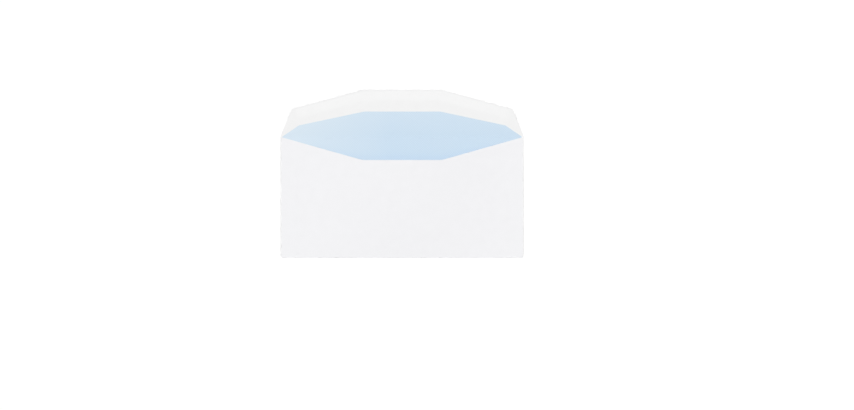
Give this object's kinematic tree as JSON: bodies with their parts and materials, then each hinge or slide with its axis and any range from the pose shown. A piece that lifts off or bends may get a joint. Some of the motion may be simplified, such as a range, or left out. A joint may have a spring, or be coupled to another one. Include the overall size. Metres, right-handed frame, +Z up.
{
  "type": "window envelope",
  "caption": "Long white window envelope lying on its front with its peaked seal flap open, blue tint inside, throat below the crease.",
  "frame": {"origin": "on the table, under the middle of the open envelope's outline", "axes": "+X along the envelope's width, +Y from the bottom fold to the tip of the open flap, +Z up, away from the front panel"},
  "size_m": [0.229, 0.158, 0.0069],
  "materials": {
    "white_paper": "smooth wove, matt",
    "clear_film": "clear, glossy",
    "blue_ink": "thin matt ink on paper"
  },
  "bodies": {
    "root": {"paper_blank": "white_paper", "window_film": "clear_film", "inside_tint": "blue_ink"}
  },
  "joints": []
}
